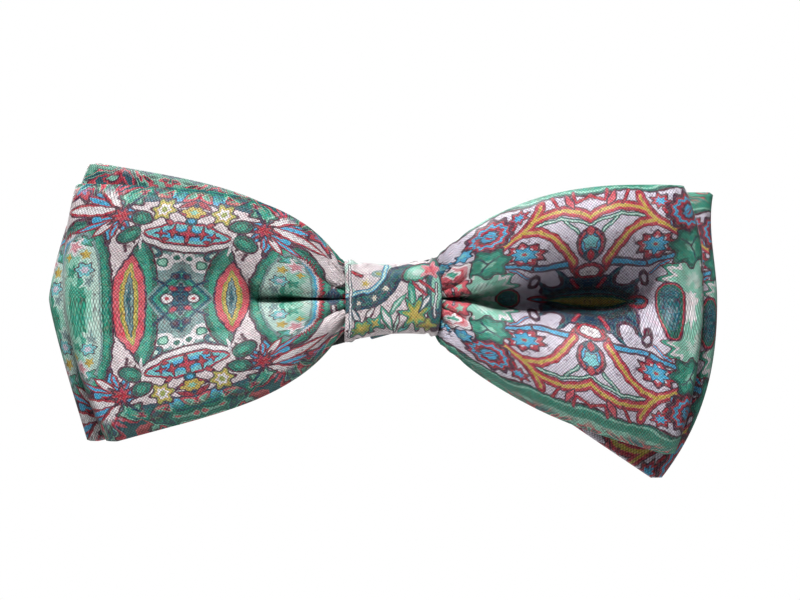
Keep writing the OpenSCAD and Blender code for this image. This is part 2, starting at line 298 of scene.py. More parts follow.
def print_inks(tree, point, ground, motifs):
    """Lays a list of motifs: (kind, centre, size, turn, rings, more)."""
    colour = ground
    for motif in motifs:
        kind, a, b, turn, rings = motif[:5]
        if kind == "stroke":
            distance, size = stroke_field(tree, point, a, b, turn), turn / 2
        elif kind == "path":
            distance, size = path_field(tree, point, a, b), b / 2
        else:
            distance, size = field(tree, point, kind, a, b, turn, *motif[5:]), min(b)
        colour = lay(tree, colour, distance, rings, size)
    return colour


MARBLE = ("wine", "red", "white", "sky", "navy", "teal", "mint", "white", "green", "deep",
          "wine", "coral", "pale", "aqua")
SWIRLS = ("green", "wine", "coral", "mint", "deep", "green", "teal", "navy", "deep",
          "mint", "wine", "red", "coral", "teal")


def marbled(tree, point, size, inks, low=0.3, high=0.7):
    """Inks that run into one another in bands, as marbled paper does."""
    flow = add(tree, "TexNoise", {"Vector": point, "Scale": 1 / size, "Detail": 2.5, "Distortion": 1.6})
    step = (high - low) / len(inks)
    marks = []
    for n, name in enumerate(inks):
        marks.append((low + step * (n + 0.12), ink(INKS[name])))
        marks.append((low + step * (n + 0.88), ink(INKS[name])))
    return ramp_of(tree, flow.outputs[0], marks).outputs["Color"]


# %% [markdown]
# ## Print: the two wings' designs
# Each design is drawn once, in millimetres of cloth from its centre, and
# mirrored both ways by taking the coordinates' absolute values, which is how
# the kaleidoscope on the real cloth repeats. At the middle of the right
# design the ground is partly painted shade: it is darker than the print
# where the hollow of the right wing lies.

# %% designs of the wings
LEAF = ((0.5, "green"), (1.0, "deep"))
BLOOM = ((0.4, "sky"), (0.7, "red"), (1.0, "wine"))
STEM = ((0.45, "sky"), (1.0, "wine"))
PETAL = ((0.7, "white"), (1.0, "red"))
TWIG = ((1.0, "wine"),)
BERRY = ((0.6, "red"), (1.0, "wine"))

LEFT_DESIGN = [
    ("round", (0, 5.0), (6.4, 8.0), 0, ((0.6, "grey"), (0.85, "deep"), (1.0, "grey"))),
    ("star", (0, 20.8), (30.0, 3.4), 0, ((0.6, "green"), (0.84, "teal"), (1.0, "navy")), 40, 0.09),
    ("round", (3.2, 18.9), (1.2, 0.9), 0, ((0.5, "aqua"), (1.0, "sky"))),
    ("lens", (1.0, 19.0), (0.8, 1.8), 60, ((0.5, "mint"), (1.0, "coral"))),
    ("lens", (6.6, 19.4), (0.8, 2.2), -66, ((0.5, "mint"), (1.0, "coral"))),
    ("round", (3.1, 6.7), (2.1, 1.9), 0, ((0.34, "mint"), (0.5, "deep"), (0.85, "white"), (1.0, "grey"))),
    ("round", (1.0, 7.7), (1.0, 0.9), 0, ((0.5, "deep"), (1.0, "white"))),
    ("round", (4.9, 8.6), (1.3, 1.0), 30, ((0.5, "pale"), (1.0, "teal"))),
    ("lens", (6.6, 0), (3.1, 11.8), 0, ((0.75, "green"), (1.0, "deep"))),
    ("diamond", (0, 0), (5.6, 6.4), 0,
     ((0.2, "navy"), (0.34, "teal"), (0.46, "navy"), (0.52, "grey"),
      (0.66, "deep"), (0.78, "green"), (0.9, "teal"), (1.0, "grey"))),
    ("stroke", (0.3, 1.2), (4.4, 3.6), 0.5, ((1.0, "navy"),)),
    ("round", (1.2, 1.9), (0.8, 0.5), 20, BERRY),
    ("round", (0.9, 4.2), (0.8, 0.7), 0, ((0.5, "wine"), (1.0, "navy"))),
    ("round", (2.1, 0), (1.1, 1.0), 0, ((0.34, "red"), (0.8, "white"), (1.0, "wine"))),
    ("lens", (8.1, 0), (2.6, 7.8), 0,
     ((0.14, "teal"), (0.28, "grey"), (0.34, "teal"), (0.5, "gold"), (0.6, "olive"), (1.0, "coral"))),
    ("round", (17.4, 0), (6.6, 13.6), 0,
     ((0.78, "mint"), (0.82, "deep"), (0.94, "green"), (1.0, "deep"))),
    ("star", (18.7, 0), (4.0, 11.8), 0, ((0.82, "rose"), (0.94, "red"), (1.0, "wine")), 56, 0.06),
    ("star", (18.3, 0), (3.5, 11.0), 0, ((0.82, "aqua"), (0.92, "sky"), (1.0, "white")), 56, 0.03),
    ("round", (16.6, 0), (4.2, 11.4), 0, ((0.35, "green"), (0.6, "mint"), (0.92, "pale"), (1.0, "grey"))),
    ("star", (17.4, 4.2), (1.5, 1.8), 30, ((0.5, "green"), (1.0, "mint")), 5, 0.3),
    ("star", (15.4, 4.6), (1.2, 1.0), 0, ((0.5, "lilac"), (1.0, "aqua")), 6, 0.2),
    ("star", (18.6, 6.4), (0.9, 1.2), 0, ((0.5, "gold"), (1.0, "mint")), 4, 0.3),
    ("star", (16.2, 9.6), (1.2, 0.8), 0, ((0.5, "aqua"), (1.0, "green")), 5, 0.3),
    ("star", (15.6, 7.2), (1.3, 1.1), 10, ((0.6, "gold"), (1.0, "pale")), 5, 0.3),
    ("star", (17.6, 8.4), (1.1, 1.4), 40, ((0.6, "rose"), (1.0, "white")), 5, 0.3),
    ("star", (14.6, 2.8), (1.0, 1.2), 40, ((0.6, "grey"), (1.0, "pale")), 5, 0.3),
    ("round", (25.6, 0), (3.3, 4.4), 0, ((0.45, "navy"), (0.75, "teal"), (1.0, "navy"))),
    ("star", (26.0, 1.6), (1.2, 1.8), 0, ((1.0, "red"),), 5, 0.35),
    ("lens", (0, 11.4), (2.9, 8.6), 90, ((0.86, "white"), (1.0, "wine"))),
    ("lens", (0, 12.1), (2.3, 7.9), 90, ((0.5, "sky"), (0.78, "aqua"), (0.9, "red"), (1.0, "wine"))),
    ("star", (0, 12.2), (1.1, 1.4), 0, BERRY, 4, 0.45),
    ("star", (2.4, 12.5), (0.7, 0.8), 0, BERRY, 4, 0.4),
    ("star", (4.3, 12.0), (0.7, 0.6), 0, BERRY, 4, 0.4),
    ("round", (3.4, 11.1), (0.7, 0.4), 0, BERRY),
    ("lens", (1.6, 15.8), (0.6, 1.6), -62, BERRY),
    ("round", (0, 14.6), (0.9, 0.7), 0, ((0.5, "sky"), (1.0, "teal"))),
    ("star", (0, 16.2), (1.7, 1.0), 0, ((0.4, "mint"), (1.0, "gold")), 6, 0.2),
    ("lens", (1.4, 17.5), (0.6, 1.7), 66, BERRY),
    ("stroke", (3.2, 13.8), (4.6, 15.4), 0.9, BERRY),
    ("star", (5.0, 16.4), (1.7, 1.6), 0,
     ((0.3, "olive"), (0.6, "white"), (0.85, "gold"), (1.0, "olive")), 6, 0.2),
    ("star", (12.8, 15.6), (3.0, 4.6), -30, ((0.5, "red"), (0.8, "sky"), (1.0, "wine")), 7, 0.4),
    ("lens", (15.8, 12.6), (0.7, 3.6), 62, ((0.45, "sky"), (0.8, "red"), (1.0, "wine"))),
    ("lens", (17.0, 15.6), (1.2, 5.2), 84, PETAL),
    ("lens", (16.8, 17.4), (0.7, 5.4), 104, ((0.5, "sky"), (0.8, "red"), (1.0, "wine"))),
    ("lens", (15.2, 18.8), (1.0, 4.4), 132, PETAL),
    ("lens", (13.2, 19.2), (0.6, 3.6), 160, ((0.5, "aqua"), (1.0, "wine"))),
    ("lens", (13.8, 12.4), (0.8, 2.4), 40, PETAL),
    ("lens", (12.0, 12.0), (0.6, 1.8), 10, BLOOM),
    ("stroke", (10.4, 12.8), (9.6, 8.4), 0.5, TWIG),
    ("round", (8.2, 14.6), (1.7, 1.2), 10, LEAF),
    ("round", (9.4, 11.4), (1.9, 1.3), -40, LEAF),
    ("star", (11.0, 18.2), (1.9, 1.6), 0, ((0.6, "green"), (0.8, "mint"), (1.0, "deep")), 5, 0.22),
    ("stroke", (11.6, 15.2), (9.4, 19.4), 0.5, ((1.0, "navy"),)),
    ("stroke", (7.0, 9.2), (7.6, 12.8), 0.5, ((1.0, "white"),)),
    ("star", (11.8, 14.8), (1.7, 1.6), 0, BERRY, 7, 0.35),
    ("star", (20.6, 19.6), (3.0, 2.4), 0, BLOOM, 6, 0.3),
]

RIGHT_DESIGN_AND_HOLLOW_SHADE = [
    ("star", (0, 25.8), (40.0, 5.0), 0,
     ((0.6, "mint"), (0.86, "green"), (0.93, "mint"), (1.0, "deep")), 24, 0.05),
    # These two dark rounds lie in the hollow of the right wing. They are partly the print's own dark paisley
    # and partly painted shade: their navy and near-black ground is darker than the print and stands in for
    # the hollow's shadow.
    ("round", (0, 2.4), (8.2, 3.5), 0, ((0.8, "navy"), (1.0, "teal"))),
    ("round", (0, -0.4), (8.6, 4.2), 0, ((0.5, "deep"), (0.8, "teal"), (1.0, "night"))),
    ("star", (18.4, 3.4), (5.0, 5.4), 20,
     ((0.3, "pale"), (0.7, "mint"), (0.85, "white"), (1.0, "green")), 14, 0.16),
    ("star", (17.6, 0.0), (3.2, 2.6), 0, ((0.5, "white"), (1.0, "mint")), 9, 0.25),
    ("round", (14.4, 0.6), (2.3, 2.9), 0, ((0.6, "teal"), (0.8, "deep"), (0.9, "red"), (1.0, "wine"))),
    ("round", (6.4, 4.9), (2.8, 2.3), -10, ((0.5, "lilac"), (0.72, "wine"), (0.84, "teal"), (1.0, "navy"))),
    ("round", (7.4, 5.9), (2.0, 1.6), 0, ((1.0, "lilac"),)),
    ("round", (9.9, 4.6), (1.1, 1.7), 20, ((0.45, "lilac"), (1.0, "wine"))),
    ("lens", (8.6, 0), (1.5, 2.6), 90, ((0.3, "sky"), (0.5, "teal"), (0.85, "red"), (1.0, "wine"))),
    ("lens", (0, 0), (1.9, 8.4), 90, ((0.5, "gold"), (0.75, "olive"), (1.0, "deep"))),
    ("stroke", (3.0, 5.2), (1.8, 3.6), 0.9, BERRY),
    ("stroke", (15.6, 8.6), (9.6, 7.4), 1.5, STEM),
    ("stroke", (9.6, 7.4), (3.6, 8.2), 1.6, STEM),
    ("stroke", (3.6, 8.2), (2.2, 6.0), 1.1, BERRY),
    ("stroke", (13.8, 7.4), (11.0, 5.6), 0.7, ((0.45, "sky"), (0.7, "red"), (1.0, "wine"))),
    ("round", (0, 6.8), (2.9, 1.5), 0, ((0.6, "white"), (0.68, "wine"), (0.88, "red"), (1.0, "wine"))),
    ("path", (((10.2, 15.6), (8.0, 16.4), (5.1, 16.7), (2.4, 15.9), (0, 15.0)),
              ((4.6, 16.5), (3.4, 14.9), (2.2, 13.6))),
     0.7, 0, ((0.35, "pale"), (1.0, "deep"))),
    ("path", (((16.0, 12.8), (13.6, 14.2), (11.4, 15.4), (9.9, 16.8), (8.6, 19.8)),
              ((9.9, 16.9), (7.4, 18.0), (4.5, 18.2), (2.0, 17.4), (0, 16.3)),
              ((11.8, 15.2), (8.6, 14.8), (6.4, 13.2), (4.6, 10.8), (3.0, 8.4))),
     2.0, 0, ((0.3, "gold"), (0.44, "coral"), (0.84, "red"), (1.0, "wine"))),
    ("path", (((0, 20.4), (2.4, 19.2), (3.0, 21.2)), ((5.4, 18.6), (6.6, 20.8))), 0.7, 0, BERRY),
    ("path", (((14.4, 14.4), (14.0, 17.0), (12.2, 19.6)), ((14.0, 17.0), (15.2, 18.4))), 0.9, 0,
     ((0.3, "lilac"), (0.6, "sky"), (1.0, "wine"))),
    ("lens", (3.5, 19.6), (0.7, 1.9), -24, ((0.6, "coral"), (1.0, "wine"))),
    ("round", (0, 11.5), (2.6, 3.1), 0, ((0.62, "sky"), (0.72, "navy"), (0.86, "red"), (1.0, "wine"))),
    ("star", (0, 12.0), (1.3, 1.1), 90, ((1.0, "aqua"),), 5, 0.2),
    ("lens", (0, 9.4), (1.4, 1.2), 0, ((0.5, "red"), (1.0, "navy"))),
    ("lens", (0, 13.9), (0.9, 1.0), 0, BERRY),
    ("star", (11.4, 10.6), (3.5, 2.4), 8, ((0.6, "lilac"), (0.84, "red"), (1.0, "wine")), 9, 0.14),
    ("star", (11.4, 10.6), (2.0, 1.5), 8,
     ((0.24, "red"), (0.4, "aqua"), (0.86, "sky"), (1.0, "navy")), 7, 0.2),
    ("stroke", (17.0, 13.0), (13.6, 18.6), 1.0, ((0.4, "sky"), (0.6, "lilac"), (1.0, "wine"))),
    ("stroke", (14.6, 15.0), (12.8, 17.4), 0.8, BERRY),
    ("star", (12.2, 18.8), (1.7, 1.4), 0, ((0.5, "sky"), (0.8, "red"), (1.0, "wine")), 7, 0.2),
    ("star", (17.6, 17.0), (4.4, 3.8), 0,
     ((0.16, "red"), (0.32, "sky"), (0.42, "wine"), (0.56, "red"), (0.7, "sky"),
      (0.82, "red"), (1.0, "wine")), 11, 0.09),
    ("stroke", (16.8, 16.8), (19.6, 18.2), 0.6, ((0.5, "sky"), (1.0, "navy"))),
    ("star", (17.8, 10.0), (3.6, 3.4), 20,
     ((0.3, "mint"), (0.5, "green"), (0.8, "green"), (1.0, "deep")), 7, 0.16),
    ("stroke", (17.8, 10.0), (19.2, 12.0), 0.3, ((1.0, "teal"),)),
    ("stroke", (17.8, 10.0), (16.0, 11.4), 0.3, ((1.0, "teal"),)),
    ("stroke", (17.8, 10.0), (18.8, 8.0), 0.3, ((1.0, "teal"),)),
    ("star", (22.2, 14.6), (1.9, 1.8), 0, ((0.4, "aqua"), (0.8, "sky"), (1.0, "navy")), 7, 0.18),
    ("star", (23.8, 8.6), (3.4, 4.6), 0,
     ((0.5, "coral"), (0.72, "rose"), (0.9, "white"), (1.0, "wine")), 5, 0.2),
    ("star", (24.2, 9.6), (1.2, 1.6), 0, ((0.6, "green"), (1.0, "white")), 4, 0.3),
    ("star", (22.9, 4.4), (1.5, 1.8), 0, ((0.4, "mint"), (1.0, "coral")), 5, 0.3),
]

KNOT_DESIGN_AND_EDGE_HIGHLIGHTS = [
    ("round", (7.6, 1.0), (1.7, 6.4), 0, ((0.5, "mint"), (0.8, "teal"), (1.0, "deep"))),
    ("round", (-4.8, 4.6), (4.6, 3.8), 10, ((0.8, "blush"), (1.0, "pale"))),
    ("stroke", (-7.2, 5.2), (-5.6, 4.2), 0.8, BERRY),
    ("round", (-2.8, 4.6), (1.2, 0.8), 0, ((0.4, "olive"), (1.0, "grey"))),
    ("star", (-5.0, 2.9), (0.9, 0.7), 0, ((0.5, "gold"), (1.0, "cream")), 5, 0.3),
    ("path", (((-8.8, -0.8), (-6.4, -0.2), (-4.3, -0.1), (-2.4, 0.9), (-0.9, 2.4), (0.4, 4.4), (2.6, 5.4)),),
     3.0, 0, ((0.3, "teal"), (0.5, "deep"), (0.86, "navy"), (1.0, "night"))),
    ("path", (((-8.6, 0.9), (-6.4, 1.5), (-4.6, 1.5), (-3.0, 2.4), (-1.9, 3.8), (-1.3, 6.4)),),
     0.9, 0, ((0.4, "pale"), (0.8, "sky"), (1.0, "navy"))),
    ("star", (-6.2, -0.4), (0.7, 0.6), 0, ((0.5, "cream"), (1.0, "teal")), 6, 0.25),
    ("star", (-3.4, 0.4), (0.7, 0.7), 0, ((0.6, "cream"), (1.0, "teal")), 6, 0.25),
    ("star", (-1.4, 1.9), (0.7, 0.7), 0, ((0.6, "cream"), (1.0, "teal")), 6, 0.25),
    ("round", (4.2, 4.6), (2.6, 1.5), 20, ((0.4, "pale"), (0.8, "mint"), (1.0, "green"))),
    ("star", (6.9, 4.9), (1.6, 1.2), 0, ((0.6, "coral"), (1.0, "rose")), 5, 0.35),
    ("stroke", (3.2, 2.7), (5.8, 0.4), 0.7, BERRY),
    ("stroke", (4.6, 3.1), (7.2, 1.2), 0.6, BERRY),
    ("lens", (0.6, -1.0), (0.5, 2.6), -40, ((0.5, "pale"), (1.0, "green"))),
    ("lens", (-6.8, -2.8), (0.6, 2.2), 24, ((0.5, "white"), (1.0, "teal"))),
    ("lens", (-4.4, -2.6), (0.6, 2.0), -30, ((0.5, "white"), (1.0, "wine"))),
    ("star", (-5.6, -5.2), (1.8, 1.3), 20, ((0.4, "gold"), (0.8, "olive"), (1.0, "green")), 7, 0.25),
    ("star", (-3.3, -4.2), (1.3, 1.0), 60, ((0.5, "gold"), (1.0, "green")), 4, 0.4),
    ("lens", (-1.2, -3.6), (0.7, 2.8), 24, ((0.55, "white"), (1.0, "green"))),
    ("lens", (0.4, -4.6), (0.5, 2.4), -14, ((0.5, "pale"), (1.0, "wine"))),
    ("lens", (1.9, -5.2), (0.6, 1.9), -44, ((0.5, "aqua"), (1.0, "green"))),
    ("lens", (3.3, 0.0), (0.7, 3.2), 8, ((0.4, "mint"), (1.0, "green"))),
    ("star", (3.9, -2.9), (2.0, 2.1), 18, ((0.5, "gold"), (0.8, "olive"), (1.0, "green")), 7, 0.34),
    ("lens", (5.6, -0.9), (0.5, 2.2), -30, ((0.5, "white"), (1.0, "teal"))),
    ("star", (6.2, -4.9), (1.2, 0.9), 0, ((0.6, "gold"), (1.0, "olive")), 4, 0.35),
    # The two white lines with thin teal rims along the knot's turned edges are painted highlight, rimmed with
    # painted shade, where the folded edges catch the light.
    ("stroke", (7.6, 2.4), (7.4, -3.4), 0.5, ((0.5, "white"), (1.0, "teal"))),
    ("stroke", (-7.7, -6.6), (-7.7, 6.6), 0.45, ((0.6, "white"), (1.0, "teal"))),
]
print("motifs:", len(LEFT_DESIGN), len(RIGHT_DESIGN_AND_HOLLOW_SHADE), len(KNOT_DESIGN_AND_EDGE_HIGHLIGHTS))


# %% [markdown]
# ## Satin with its weave
# Polyester satin for printing shows a fine diagonal grain about 0.4 mm
# across, with each float catching a point of light, and a soft, broad sheen.
# The ink sinks in unevenly, so each colour is mottled, and edges wander by
# a few tenths of a millimetre.

# %% satin material
WEAVE_PITCH = 0.4
REPEAT = 24.0
KNOT_REPEAT = 7.5


def cloth_point(tree):
    return add(tree, "UVMap", uv_map="cloth_mm").outputs[0]


def mirrored(tree, point, centre):
    """Coordinates folded both ways, which repeats a design as a kaleidoscope does."""
    parts = add(tree, "SeparateXYZ", {0: vector_node(tree, "SUBTRACT", point, (centre, 0, 0))})
    along = math_node(tree, "PINGPONG", parts.outputs[0], REPEAT)
    across = math_node(tree, "ABSOLUTE", parts.outputs[1])
    return add(tree, "CombineXYZ", {0: along, 1: across}).outputs[0]


def folded_over(tree, point):
    """The knot's design, repeated upside down round its back."""
    parts = add(tree, "SeparateXYZ", {0: point})
    up = math_node(tree, "PINGPONG", math_node(tree, "ADD", parts.outputs[1], KNOT_REPEAT), 2 * KNOT_REPEAT)
    up = math_node(tree, "SUBTRACT", up, KNOT_REPEAT)
    return add(tree, "CombineXYZ", {0: parts.outputs[0], 1: up}).outputs[0]


def wandering(tree, point, size, amount):
    noise = add(tree, "TexNoise", {"Vector": point, "Scale": 1 / size, "Detail": 2.0})
    shift = vector_node(tree, "SUBTRACT", noise.outputs["Color"], (0.5, 0.5, 0.5))
    shift = vector_node(tree, "MULTIPLY", shift, (amount, amount, 0))
    return vector_node(tree, "ADD", point, shift)


def weave_height(tree, point, pitch):
    """Small raised floats between two diagonal sets of grooves, from 0 to 1."""
    parts = add(tree, "SeparateXYZ", {0: point})
    turn = math.pi / pitch
    waves = []
    for across, up in ((0.70, 0.71), (0.78, -0.62)):
        way = math_node(tree, "MULTIPLY", parts.outputs[0], across * turn)
        way = math_node(tree, "MULTIPLY_ADD", parts.outputs[1], up * turn, way)
        waves.append(math_node(tree, "ABSOLUTE", math_node(tree, "SINE", way)))
    return math_node(tree, "SQRT", math_node(tree, "MULTIPLY", waves[0], waves[1]))


def satin(name, ground, design, centre=None, border=None):
    material, tree, shader = new_material(name)
    flat = cloth_point(tree)
    point = folded_over(tree, flat) if centre is None else mirrored(tree, flat, centre)
    point = wandering(tree, point, 2.6, 0.9)
    point = wandering(tree, point, 0.8, 0.4)
    colour = print_inks(tree, point, ink(INKS[ground]), design)
    colour = blend_colour(tree, 0.17, colour, marbled(tree, point, 1.3, MARBLE))
    if border:
        height = math_node(tree, "ABSOLUTE", add(tree, "SeparateXYZ", {0: point}).outputs[1])
        limits = {0: height, 1: border - 0.6, 2: border + 0.6, 3: 0.0, 4: 0.8}
        outer = add(tree, "MapRange", limits).outputs[0]
        colour = blend_colour(tree, outer, colour, marbled(tree, point, 7.0, SWIRLS, 0.36, 0.66))
    hairs = add(tree, "TexNoise", {"Vector": point, "Scale": 0.55, "Detail": 1.5, "Distortion": 1.0})
    off, on = (0, 0, 0, 1), (1, 1, 1, 1)
    hair = ramp_of(tree, hairs.outputs[0], [(0.478, off), (0.49, on), (0.498, on), (0.51, off)])
    hair = math_node(tree, "MULTIPLY", hair.outputs["Color"], 0.6)
    colour = blend_colour(tree, hair, colour, ink(INKS["wine"]))
    mottle = add(tree, "TexNoise", {"Vector": flat, "Scale": 0.9, "Detail": 5.0, "Roughness": 0.65})
    shade = add(tree, "MapRange", {0: mottle.outputs[0], 1: 0.3, 2: 0.7, 3: 0.74, 4: 1.12}).outputs[0]
    height = weave_height(tree, flat, WEAVE_PITCH)
    grain = add(tree, "MapRange", {0: height, 1: 0.0, 2: 1.0, 3: 0.24, 4: 1.2}).outputs[0]
    value = math_node(tree, "MULTIPLY", shade, grain)
    tone = add(tree, "CombineColor", {0: value, 1: value, 2: value}).outputs[0]
    colour = blend_colour(tree, 1.0, colour, tone, "MULTIPLY")
    bump = add(tree, "Bump", {"Height": height, "Strength": 0.4, "Distance": 0.0001})
    tree.links.new(colour, shader.inputs["Base Color"])
    tree.links.new(bump.outputs[0], shader.inputs["Normal"])
    shader.inputs["Roughness"].default_value = 0.46
    shader.inputs["Specular IOR Level"].default_value = 0.3
    shader.inputs["Sheen Weight"].default_value = 0.08
    shader.inputs["Sheen Roughness"].default_value = 0.4
    return material


LEFT_CENTRE = 33.9
RIGHT_CENTRE = 34.7
print_left = satin("printed_satin_left", "blush", LEFT_DESIGN, LEFT_CENTRE, border=18.8)
# The right print holds painted shade: a dark ground in the hollow of the right wing.
print_right_and_hollow_shade = satin("printed_satin_right_and_hollow_shade", "lilac", RIGHT_DESIGN_AND_HOLLOW_SHADE, RIGHT_CENTRE, border=23.4)
# The knot's print holds painted highlights, rimmed with painted shade, along its turned edges.
print_knot_and_edge_highlights = satin("printed_satin_knot_and_edge_highlights", "blush", KNOT_DESIGN_AND_EDGE_HIGHLIGHTS)
print("nodes in the left print:", len(print_left.node_tree.nodes))


# %% [markdown]
# ## The other materials
# Interlining is a soft off-white felt. Thread is polyester, spun in a twist.
# The neck band is black grosgrain ribbon, ribbed across. The hardware is
# stamped and bent, then nickel plated, with a fine satin brushing.

# %% lining, thread, ribbon and metal
def felt(name, code):
    material, tree, shader = new_material(name)
    place = add(tree, "TexCoord").outputs["Object"]
    fibres = add(tree, "TexNoise", {"Vector": place, "Scale": 2600.0, "Detail": 4.0})
    shade = add(tree, "MapRange", {0: fibres.outputs[0], 1: 0.3, 2: 0.7, 3: 0.82, 4: 1.0}).outputs[0]
    tone = add(tree, "CombineColor", {0: shade, 1: shade, 2: shade}).outputs[0]
    colour = blend_colour(tree, 1.0, ink(code), tone, "MULTIPLY")
    bump = add(tree, "Bump", {"Height": fibres.outputs[0], "Strength": 0.4, "Distance": 0.0001})
    tree.links.new(colour, shader.inputs["Base Color"])
    tree.links.new(bump.outputs[0], shader.inputs["Normal"])
    shader.inputs["Roughness"].default_value = 0.9
    return material


def twisted_thread(name, code):
    material, tree, shader = new_material(name)
    place = add(tree, "TexCoord").outputs["Object"]
    twist = add(tree, "TexWave", {"Vector": place, "Scale": 900.0, "Distortion": 1.5, "Detail": 1.0},
                bands_direction="DIAGONAL")
    shade = add(tree, "MapRange", {0: twist.outputs["Fac"], 1: 0.0, 2: 1.0, 3: 0.7, 4: 1.0}).outputs[0]
    tone = add(tree, "CombineColor", {0: shade, 1: shade, 2: shade}).outputs[0]
    colour = blend_colour(tree, 1.0, ink(code), tone, "MULTIPLY")
    bump = add(tree, "Bump", {"Height": twist.outputs["Fac"], "Strength": 0.5, "Distance": 0.00005})
    tree.links.new(colour, shader.inputs["Base Color"])
    tree.links.new(bump.outputs[0], shader.inputs["Normal"])
    shader.inputs["Roughness"].default_value = 0.6
    shader.inputs["Sheen Weight"].default_value = 0.2
    return material


RIB_PITCH = 0.42


def grosgrain(name, code):
    material, tree, shader = new_material(name)
    flat = cloth_point(tree)
    parts = add(tree, "SeparateXYZ", {0: flat})
    rib = math_node(tree, "SINE", math_node(tree, "MULTIPLY", parts.outputs[0], 2 * math.pi / RIB_PITCH))
    rib = math_node(tree, "MULTIPLY_ADD", rib, 0.5, 0.5)
    fine = math_node(tree, "SINE", math_node(tree, "MULTIPLY", parts.outputs[1], 2 * math.pi / 0.22))
    height = math_node(tree, "MULTIPLY_ADD", fine, 0.12, rib)
    dust = add(tree, "TexNoise", {"Vector": flat, "Scale": 0.35, "Detail": 4.0})
    shade = add(tree, "MapRange", {0: dust.outputs[0], 1: 0.3, 2: 0.7, 3: 0.75, 4: 1.35}).outputs[0]
    shade = math_node(tree, "MULTIPLY", shade, add(tree, "MapRange", {0: rib, 3: 0.55, 4: 1.15}).outputs[0])
    tone = add(tree, "CombineColor", {0: shade, 1: shade, 2: shade}).outputs[0]
    colour = blend_colour(tree, 1.0, ink(code), tone, "MULTIPLY")
    bump = add(tree, "Bump", {"Height": height, "Strength": 0.8, "Distance": 0.00015})
    tree.links.new(colour, shader.inputs["Base Color"])
    tree.links.new(bump.outputs[0], shader.inputs["Normal"])
    shader.inputs["Roughness"].default_value = 0.55
    shader.inputs["Sheen Weight"].default_value = 0.25
    return material


def plated(name, code):
    material, tree, shader = new_material(name)
    place = add(tree, "TexCoord").outputs["Object"]
    long = add(tree, "Mapping", {"Vector": place, "Scale": (900, 900, 60)}).outputs[0]
    brush = add(tree, "TexNoise", {"Vector": long, "Scale": 6.0, "Detail": 3.0})
    rough = add(tree, "MapRange", {0: brush.outputs[0], 1: 0.3, 2: 0.7, 3: 0.2, 4: 0.38}).outputs[0]
    wear = add(tree, "TexNoise", {"Vector": place, "Scale": 220.0, "Detail": 3.0})
    shade = add(tree, "MapRange", {0: wear.outputs[0], 1: 0.35, 2: 0.7, 3: 0.85, 4: 1.0}).outputs[0]
    tone = add(tree, "CombineColor", {0: shade, 1: shade, 2: shade}).outputs[0]
    colour = blend_colour(tree, 1.0, ink(code), tone, "MULTIPLY")
    tree.links.new(colour, shader.inputs["Base Color"])
    tree.links.new(rough, shader.inputs["Roughness"])
    shader.inputs["Metallic"].default_value = 1.0
    return material


lining_felt = felt("interlining_felt", "E8E3D8")
pale_thread = twisted_thread("polyester_thread_pale", "D8D2C8")
black_thread = twisted_thread("polyester_thread_black", "17171B")
black_ribbon = grosgrain("grosgrain_ribbon_black", "15151A")
nickel = plated("nickel_plated_steel", "C9C3B6")


# %% [markdown]
# ## Wings: how a loop is drawn
# A loop is a closed strip of cloth: along the face of a wing, round the fold
# at its end, back behind, through the waist and out to the other wing. It is
# drawn as a surface over t, from the waist to the end's fold, and v, from
# the lower edge to the upper. The cloth is gathered at the waist, so near the
# knot part of its height is tucked into a valley, and puffs out beyond it.

# %% wing measures
END_RADIUS = 1.6
FRONT_WINGS = {
    -1: dict(top=(56.2, 20.2), bottom=(50.8, 25.0), end=4.9, swell=(1.7, -0.1), length=56.0,
             start=(5.6, 4.8), free_from=7.4,
             top_curve=(4.6, 0.15), bottom_curve=(5.0, 0.55), print_h=(20.5, 22.5), drift=4.0,
             width=((0, 0.5), (8.5, 0.6), (14, 0.9), (22, 1.9), (30, 6.0), (60, 7.0)),
             depth=((0, 0), (7, 0.8), (11, 4.6), (17, 6.2), (23, 4.4), (28, 1.0),
                    (37, 1.5), (46, 0.2), (60, 0)),
             puff=((0, 0), (7.5, 0.3), (11, 2.4), (18, 5.6), (28, 7.0),
                   (38, 6.9), (48, 5.0), (55, 2.0), (60, 0)),
             crease=1.2, rise=0.3, upper=1.0),
    1: dict(top=(51.2, 19.8), bottom=(49.6, 27.2), end=4.3, swell=(2.0, -0.1), length=54.0,
            start=(7.9, 7.7), free_from=6.4,
            top_curve=(3.0, 0.0), bottom_curve=(3.0, 0.6), print_h=(22.0, 24.7), drift=0.0,
            width=((0, 0.5), (8.5, 0.8), (12, 1.3), (20, 3.4), (28, 5.4), (36, 6.4), (60, 7.6)),
            depth=((0, 0), (7, 0.6), (11, 3.2), (20, 7.2), (28, 11.4),
                   (36, 12.2), (44, 7.6), (51, 1.2), (60, 0)),
            puff=((0, 0), (7.5, 0.3), (11, 2.8), (18, 7.0), (28, 11.0),
                  (37, 11.6), (47, 7.4), (54, 2.6), (60, 0)),
            crease=3.0, rise=-0.4, upper=1.3),
}
REAR_WINGS = {
    -1: dict(top=(54.4, 24.0), bottom=(54.7, 25.2), end=7.0, swell=(1.25, 0.1), length=58.0,
             start=(5.2, 5.2), free_from=7.4,
             top_curve=(4.0, 0.4), bottom_curve=(4.0, 0.5), print_h=(22.0, 22.0)),
    1: dict(top=(56.9, 18.8), bottom=(47.8, 31.8), end=5.3, swell=(2.0, -0.9), length=58.0,
            start=(5.2, 5.2), free_from=7.4,
            top_curve=(4.0, 0.0), bottom_curve=(3.0, 0.95), print_h=(22.0, 22.0)),
}
GATHERED = (3.9, 5.2)
FREE_RUN = 2.0


